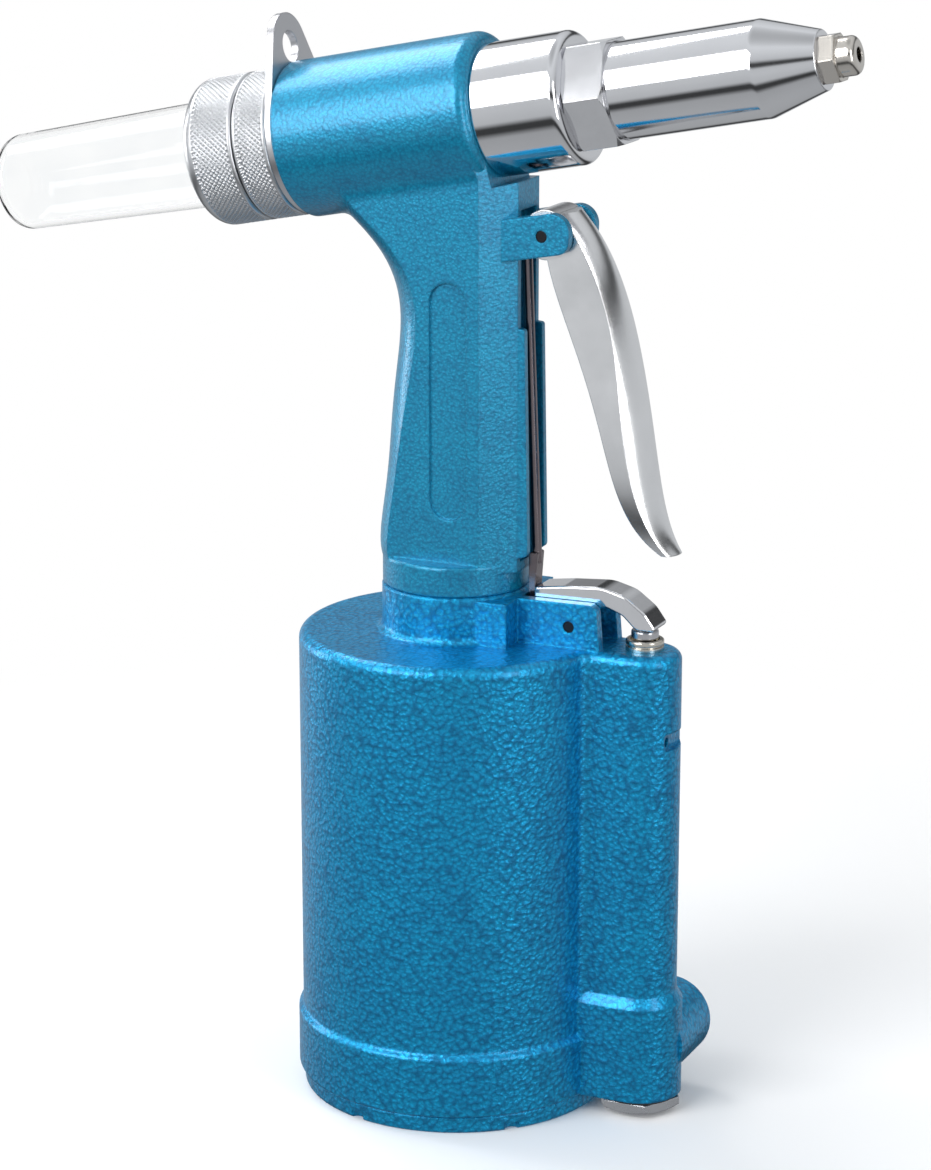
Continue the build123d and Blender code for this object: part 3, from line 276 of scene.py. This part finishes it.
def turned_metal(name, colour, rough, pitch, depth):
    """Metal with fine lathe rings about the head's axis, a pitch apart."""
    material, tree, shader = new_finish(name)
    coordinates = tree.nodes.new("ShaderNodeTexCoord")
    along = tree.nodes.new("ShaderNodeVectorMath")
    along.operation = "DOT_PRODUCT"
    along.inputs[1].default_value = head_along
    tree.links.new(coordinates.outputs["Object"], along.inputs[0])
    rings = tree.nodes.new("ShaderNodeTexNoise")
    rings.noise_dimensions = "1D"
    rings.inputs["Scale"].default_value = 1 / pitch
    rings.inputs["Detail"].default_value = 3.0
    tree.links.new(along.outputs["Value"], rings.inputs["W"])
    smudge = place_noise(tree, 60.0, 5.0)
    low = tuple(channel * (1 - TURNED_WANDER) for channel in colour)
    body = ramp(tree, smudge.outputs["Fac"], [(0.3, low), (0.7, colour)])
    tree.links.new(body, shader.inputs["Base Color"])
    tree.links.new(spread(tree, rings.outputs["Fac"], *rough), shader.inputs["Roughness"])
    shader.inputs["Metallic"].default_value = 1.0
    raise_bumps(tree, shader, rings.outputs["Fac"], depth, 1.0, TURNED_EDGE_ROUND)
    return material


chrome = metal("polished_chrome", (0.80, 0.80, 0.82), (0.05, 0.13), 700.0)
trigger_chrome = metal("trigger_chrome", (0.86, 0.86, 0.87), (0.12, 0.30), 500.0, 0.004 * MM)
sleeve_chrome = turned_metal("turned_chrome", (0.82, 0.82, 0.84), (0.04, 0.12), 0.6 * MM, 0.0015 * MM)
nickel = turned_metal("nose_nickel", (0.70, 0.66, 0.61), (0.10, 0.24), 0.35 * MM, 0.004 * MM)
screw_nickel = metal("screw_nickel", (0.66, 0.63, 0.56), (0.12, 0.28))
aluminium = metal("knurled_aluminium", (0.64, 0.65, 0.67), (0.24, 0.38), 1500.0, 0.012 * MM)
hanger_steel = metal("hanger_steel", (0.60, 0.60, 0.62), (0.24, 0.42), 1200.0, 0.01 * MM)
zinc = metal("zinc_plate", (0.66, 0.67, 0.70), (0.18, 0.34), 1000.0, 0.008 * MM)
ground_steel = metal("ground_steel", (0.55, 0.55, 0.57), (0.16, 0.30), 1400.0, 0.006 * MM)
dark_steel = metal("dark_steel", (0.20, 0.17, 0.18), (0.14, 0.30), 800.0, 0.006 * MM, 0.2)
pin_steel = metal("blackened_pin", (0.030, 0.030, 0.034), (0.30, 0.50), 900.0, 0.005 * MM, 0.3)
brass = metal("gland_brass", (0.72, 0.53, 0.22), (0.18, 0.34), 900.0, 0.006 * MM)
plain_aluminium = metal("turned_aluminium", (0.72, 0.73, 0.75), (0.22, 0.38), 900.0, 0.008 * MM)
print("finishes so far:", len(bpy.data.materials))

# %% [markdown]
# ## Rubber and clear plastic
# Rubber is nearly black and dull, with a fine bloom on it. The bottle is clear moulded plastic.
# Its wall is real in the model, so a transmitting shader bends the light at both faces and draws
# the grey lines along its edges by itself.

# %% Rubber and clear plastic
black_rubber, rubber_tree, rubber_shader = new_finish("black_rubber")
bloom = place_noise(rubber_tree, 400.0, 5.0)
rubber_stops = [(0.3, (0.012, 0.012, 0.013)), (0.7, (0.035, 0.035, 0.037))]
rubber_colour = ramp(rubber_tree, bloom.outputs["Fac"], rubber_stops)
rubber_tree.links.new(rubber_colour, rubber_shader.inputs["Base Color"])
rubber_dullness = spread(rubber_tree, bloom.outputs["Fac"], 0.45, 0.75)
rubber_tree.links.new(rubber_dullness, rubber_shader.inputs["Roughness"])
raise_bumps(rubber_tree, rubber_shader, bloom.outputs["Fac"], 0.02 * MM)

clear_plastic, plastic_tree, plastic_shader = new_finish("clear_plastic")
haze = place_noise(plastic_tree, 70.0, 4.0)
plastic_stops = [(0.3, (0.955, 0.965, 0.97)), (0.7, (0.985, 0.99, 0.99))]
plastic_colour = ramp(plastic_tree, haze.outputs["Fac"], plastic_stops)
plastic_tree.links.new(plastic_colour, plastic_shader.inputs["Base Color"])
plastic_dullness = spread(plastic_tree, haze.outputs["Fac"], 0.0, 0.05)
plastic_tree.links.new(plastic_dullness, plastic_shader.inputs["Roughness"])
plastic_shader.inputs["Transmission Weight"].default_value = 1.0
plastic_shader.inputs["IOR"].default_value = 1.2
raise_bumps(plastic_tree, plastic_shader, haze.outputs["Fac"], 0.05 * MM, 0.3)
print("made", black_rubber.name, "and", clear_plastic.name)

# %% [markdown]
# ## Paint the design's own pieces
# Most pieces keep the shape that they were designed with and only take a finish. The list names
# each finish once, with the pieces that wear it.

# %% Give every node its finish
finishes = {
    casting_blue: ["air_cylinder", "base_cap"],
    handle_blue: ["handle_body"],
    chrome: ["head_lock_nut", "lower_lever"],
    trigger_chrome: ["trigger"],
    sleeve_chrome: ["front_sleeve", "frame_head"],
    nickel: ["nosepiece"],
    screw_nickel: ["valve_screw"],
    aluminium: ["frame_cap", "collector_ring"],
    hanger_steel: ["hanger_plate"],
    zinc: ["valve_plug", "oil_screw", "piston_nut"],
    ground_steel: ["ram", "hydraulic_piston", "mandrel_tube", "jaw_pusher", "valve_stem",
                   "return_spring", "jaw_spring", "valve_spring"],
    dark_steel: ["handle_lock_nut", "rod_pin", "trigger_rod", "jaw_case", "jaw_case_coupler",
                 "jaw_1", "jaw_2", "jaw_3"],
    pin_steel: ["trigger_pin", "lever_pin"],
    brass: ["ram_gland", "valve_sleeve"],
    plain_aluminium: ["air_piston"],
    black_rubber: ["cap_seal", "bumper", "ram_seal", "rod_seal", "sleeve_seal", "tube_seal",
                   "piston_seal", "air_piston_seal", "valve_seal", "plug_washer", "oil_screw_seal"],
    clear_plastic: ["collector_bottle"],
}
painted = 0
for finish, names in finishes.items():
    for name in names:
        for material_slot in nodes[name].material_slots:
            material_slot.material = finish
        painted += 1
print("painted", painted, "of", len(nodes), "nodes")

# %% [markdown]
# ## Knurled rings
# The frame cap and the collector ring have a diamond knurl so that a gloved hand can turn them.
# A bump map looks flat at the ring's outline, so the teeth are cut into a real mesh: a lathe
# shape with many steps, whose radius dips along two sets of crossing helical grooves.

# %% Knurling tools
KNURL_TEETH = 84
KNURL_DEPTH = 0.42 * MM
STEPS_PER_TOOTH = 6
CORNER_STEPS = 8


def tooth_height(angle, along, radius):
    """1 on a tooth's flat point and 0 in a groove, for two crossing helices at 45 degrees."""
    around = angle * KNURL_TEETH / (2 * math.pi)
    climb = along * KNURL_TEETH / (2 * math.pi * radius)
    ridges = []
    for lean in (around + climb, around - climb):
        ridges.append(1 - abs(2 * (lean % 1.0) - 1))
    return min(1.0, 1.6 * min(ridges))


def knurled_ring(name, profile):
    """Lathe a closed (along, radius, knurled) profile about the head, in metres."""
    segments = KNURL_TEETH * STEPS_PER_TOOTH
    mesh = bmesh.new()
    loops = []
    for along, radius, knurled in profile:
        loop = []
        for step in range(segments):
            angle = 2 * math.pi * step / segments
            dip = KNURL_DEPTH * (1 - tooth_height(angle, along, radius)) if knurled else 0.0
            loop.append(mesh.verts.new(on_head(along, radius - dip, angle)))
        loops.append(loop)
    for first, second in zip(loops, loops[1:] + loops[:1]):
        for step in range(segments):
            after = (step + 1) % segments
            mesh.faces.new((first[step], first[after], second[after], second[step]))
    bmesh.ops.recalc_face_normals(mesh, faces=mesh.faces)
    data = bpy.data.meshes.new(name)
    mesh.to_mesh(data)
    mesh.free()
    piece = bpy.data.objects.new(name, data)
    bpy.context.scene.collection.objects.link(piece)
    piece.data.materials.append(aluminium)
    print(name, len(data.polygons), "faces")
    return piece


def knurled_stretch(start, end, radius):
    """Profile points across a knurled band, fine enough to shape the teeth."""
    tooth = 2 * math.pi * radius / KNURL_TEETH
    count = max(4, round(abs(end - start) / tooth * STEPS_PER_TOOTH))
    return [(start + (end - start) * i / count, radius, True) for i in range(count + 1)]


def ring_corner(end, outer, radius, facing):
    """Profile points round a ring's corner; facing is 1 at its front end and -1 at its rear."""
    first_angle = min(0, 90 * facing)
    points = []
    for i in range(CORNER_STEPS + 1):
        angle = math.radians(first_angle + 90 * i / CORNER_STEPS)
        along = end - facing * radius + radius * math.sin(angle)
        points.append((along, outer - radius + radius * math.cos(angle), False))
    return points


# %% [markdown]
# The frame cap is a flange with a spigot behind it, which the collector slides on, and a screwed
# seat in front of it. The collector ring has a socket for the bottle behind its inner web.

# %% Build the two rings
RING_EDGE = 0.8 * MM
PLAIN_LAND = 1.4 * MM
FLANGE_LEAST_RADIUS = 17.5 * MM
CAP_BORE_RADIUS = 5.06 * MM
CAP_SPIGOT_RADIUS = 12.5 * MM
CAP_SEAT_RADIUS = 15.45 * MM
SHOULDER_RADIUS = 3.5 * MM
SHOULDER_LAND = 0.5 * MM
SOCKET_RADIUS = 13.95 * MM
RING_BORE_RADIUS = 12.58 * MM
WEB_HOLE_RADIUS = 9.0 * MM
WEB_THICKNESS = 1.6 * MM

flange_start, flange_end, flange_radius = head_reach("frame_cap", FLANGE_LEAST_RADIUS)
cap_tail, cap_nose, _ = head_reach("frame_cap")
cap_profile = [
    (cap_tail, CAP_BORE_RADIUS, False),
    (cap_tail, CAP_SPIGOT_RADIUS, False),
    (flange_start, CAP_SPIGOT_RADIUS, False),
]
cap_profile += ring_corner(flange_start, flange_radius, RING_EDGE, -1)
cap_profile += knurled_stretch(flange_start + PLAIN_LAND, flange_end - PLAIN_LAND, flange_radius)
cap_profile += ring_corner(flange_end, flange_radius, RING_EDGE, 1)
cap_profile += [
    (flange_end, CAP_SEAT_RADIUS, False),
    (cap_nose, CAP_SEAT_RADIUS, False),
    (cap_nose, CAP_BORE_RADIUS, False),
]
knurled_cap = knurled_ring("knurled_frame_cap", cap_profile)
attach(knurled_cap, "frame")
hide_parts("frame_cap")

ring_start, ring_end, ring_radius = head_reach("collector_ring")
web_start = head_reach("collector_bottle")[1]
web_end = web_start + WEB_THICKNESS
ring_profile = [(ring_start, SOCKET_RADIUS, False)]
ring_profile += ring_corner(ring_start, ring_radius, SHOULDER_RADIUS, -1)
knurl_start = ring_start + SHOULDER_RADIUS + SHOULDER_LAND
ring_profile += knurled_stretch(knurl_start, ring_end - PLAIN_LAND, ring_radius)
ring_profile += ring_corner(ring_end, ring_radius, RING_EDGE, 1)
ring_profile += [
    (ring_end, RING_BORE_RADIUS, False),
    (web_end, RING_BORE_RADIUS, False),
    (web_end, WEB_HOLE_RADIUS, False),
    (web_start, WEB_HOLE_RADIUS, False),
    (web_start, SOCKET_RADIUS, False),
]
knurled_collector = knurled_ring("knurled_collector_ring", ring_profile)
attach(knurled_collector, "collector")
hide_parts("collector_ring")

# %% [markdown]
# ## Floor, light and camera
# The tool stands on a pale floor in a soft white room. Polished metal has no colour of its own:
# it draws whatever surrounds it. The room is therefore not plain, but light with two dark bands,
# one above and one below eye level, which give chrome its dark streaks. The floor takes a shadow
# near the tool and fades to pure white further out.

# %% Floor
FLOOR_SIZE = 5.0
WHITE = (1.0, 1.0, 1.0, 1.0)
SHADOW_REACH = 0.13
FLOOR_FADE = 0.42
bpy.ops.mesh.primitive_plane_add(size=FLOOR_SIZE, location=(0, 0, 0))
floor = bpy.context.object
floor.name = "studio_floor"
floor_finish, floor_tree, floor_shader = new_finish("pale_floor")
floor_grain = place_noise(floor_tree, 4.0, 3.0)
floor_stops = [(0.3, (0.90, 0.90, 0.90)), (0.7, (0.93, 0.93, 0.93))]
floor_colour = ramp(floor_tree, floor_grain.outputs["Fac"], floor_stops)
floor_tree.links.new(floor_colour, floor_shader.inputs["Base Color"])
floor_shader.inputs["Roughness"].default_value = 0.8
floor_place = floor_tree.nodes.new("ShaderNodeTexCoord")
floor_distance = floor_tree.nodes.new("ShaderNodeVectorMath")
floor_distance.operation = "LENGTH"
floor_tree.links.new(floor_place.outputs["Object"], floor_distance.inputs[0])
floor_fade = floor_tree.nodes.new("ShaderNodeMapRange")
floor_fade.interpolation_type = "SMOOTHSTEP"
floor_fade.inputs["From Min"].default_value = SHADOW_REACH
floor_fade.inputs["From Max"].default_value = FLOOR_FADE
floor_tree.links.new(floor_distance.outputs["Value"], floor_fade.inputs["Value"])
floor_glow = floor_tree.nodes.new("ShaderNodeEmission")
floor_glow.inputs["Color"].default_value = WHITE
floor_mix = floor_tree.nodes.new("ShaderNodeMixShader")
floor_tree.links.new(floor_fade.outputs["Result"], floor_mix.inputs["Fac"])
floor_tree.links.new(floor_shader.outputs["BSDF"], floor_mix.inputs[1])
floor_tree.links.new(floor_glow.outputs["Emission"], floor_mix.inputs[2])
floor_output = next(node for node in floor_tree.nodes if node.type == "OUTPUT_MATERIAL")
floor_tree.links.new(floor_mix.outputs["Shader"], floor_output.inputs["Surface"])
floor.data.materials.append(floor_finish)
floor.visible_glossy = False
floor.visible_diffuse = False
floor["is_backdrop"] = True
print("floor fades between", SHADOW_REACH, "and", FLOOR_FADE, "m from its middle")

# %% [markdown]
# Four soft lamps light the tool. The strongest stands on the camera's side, one falls on the
# head from above, and two narrow ones draw long highlights down the sides of the cylinder.


# %% Lamps
def soft_lamp(name, location, target, size, watts):
    """A rectangular area lamp that faces a point."""
    data = bpy.data.lights.new(name, "AREA")
    data.shape = "RECTANGLE"
    data.size, data.size_y = size
    data.energy = watts
    lamp = bpy.data.objects.new(name, data)
    bpy.context.scene.collection.objects.link(lamp)
    lamp.location = location
    lamp.rotation_euler = (Vector(target) - Vector(location)).to_track_quat("-Z", "Y").to_euler()
    return lamp


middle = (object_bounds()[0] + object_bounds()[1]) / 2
head_middle = on_head(0)
soft_lamp("head_lamp", (-0.80, 0.30, 1.20), head_middle, (0.9, 0.45), 7.0)
soft_lamp("front_lamp", (-0.55, -1.35, 0.95), middle, (1.1, 1.1), 20.0)
soft_lamp("side_lamp", (1.30, -0.55, 0.55), middle, (0.45, 1.1), 7.0)
soft_lamp("edge_lamp", (-1.25, 0.05, 0.35), middle, (0.25, 0.8), 4.0)
print("lamps:", len(bpy.data.lights))

# %% [markdown]
# The room is a ramp of brightness from straight down to straight up. It lights the tool and
# shows in its reflections, while the background itself, and what the clear bottle lets through,
# is pure white.

# %% World light
world = bpy.data.worlds.new("white_room")
bpy.context.scene.world = world
world.use_nodes = True
sky = world.node_tree
sky.nodes.clear()
sky_place = sky.nodes.new("ShaderNodeTexCoord")
sky_parts = sky.nodes.new("ShaderNodeSeparateXYZ")
sky.links.new(sky_place.outputs["Generated"], sky_parts.inputs["Vector"])
height_share = spread(sky, sky_parts.outputs["Z"], 0.0, 1.0)
height_share.node.inputs["From Min"].default_value = -1.0
# Each entry is the height of a direction, from -1 to 1, and the brightness there.
room_heights = [
    (-1.00, 0.45), (-0.72, 0.40), (-0.60, 0.05), (-0.48, 0.05), (-0.36, 0.55), (-0.05, 0.62),
    (0.14, 0.60), (0.24, 0.06), (0.34, 0.06), (0.46, 0.60), (0.85, 0.80), (1.00, 0.50),
]
room_stops = [((z + 1) / 2, (0.94 * v, 0.97 * v, v)) for z, v in room_heights]
room_colour = ramp(sky, height_share, room_stops)
room = sky.nodes.new("ShaderNodeBackground")
sky.links.new(room_colour, room.inputs["Color"])
seen = sky.nodes.new("ShaderNodeBackground")
seen.inputs["Color"].default_value = WHITE
path = sky.nodes.new("ShaderNodeLightPath")
direct = sky.nodes.new("ShaderNodeMath")
direct.operation = "MAXIMUM"
sky.links.new(path.outputs["Is Camera Ray"], direct.inputs[0])
sky.links.new(path.outputs["Is Transmission Ray"], direct.inputs[1])
choose = sky.nodes.new("ShaderNodeMixShader")
world_output = sky.nodes.new("ShaderNodeOutputWorld")
sky.links.new(direct.outputs["Value"], choose.inputs["Fac"])
sky.links.new(room.outputs["Background"], choose.inputs[1])
sky.links.new(seen.outputs["Background"], choose.inputs[2])
sky.links.new(choose.outputs["Shader"], world_output.inputs["Surface"])
print("room stops:", len(room_stops))

# %% [markdown]
# The camera looks at the tool's right side from a little ahead of it and a little above. A long
# lens from far away keeps upright edges nearly parallel.

# %% Camera
CAMERA_AZIMUTH = math.radians(24.54)
CAMERA_ELEVATION = math.radians(15.25)
CAMERA_DISTANCE = 0.9228
CAMERA_TARGET = Vector((0.0025, 0, 0.1385))
CAMERA_LENS = 107.7
toward_camera = Vector((
    math.sin(CAMERA_AZIMUTH) * math.cos(CAMERA_ELEVATION),
    -math.cos(CAMERA_AZIMUTH) * math.cos(CAMERA_ELEVATION),
    math.sin(CAMERA_ELEVATION),
))
camera_data = bpy.data.cameras.new("studio_camera")
camera_data.lens = CAMERA_LENS
camera = bpy.data.objects.new("studio_camera", camera_data)
bpy.context.scene.collection.objects.link(camera)
camera.location = CAMERA_TARGET + toward_camera * CAMERA_DISTANCE
camera.rotation_euler = (-toward_camera).to_track_quat("-Z", "Y").to_euler()
bpy.context.scene.camera = camera
bpy.context.scene.view_settings.view_transform = "Standard"
print("camera stands at", tuple(round(c, 3) for c in camera.location))
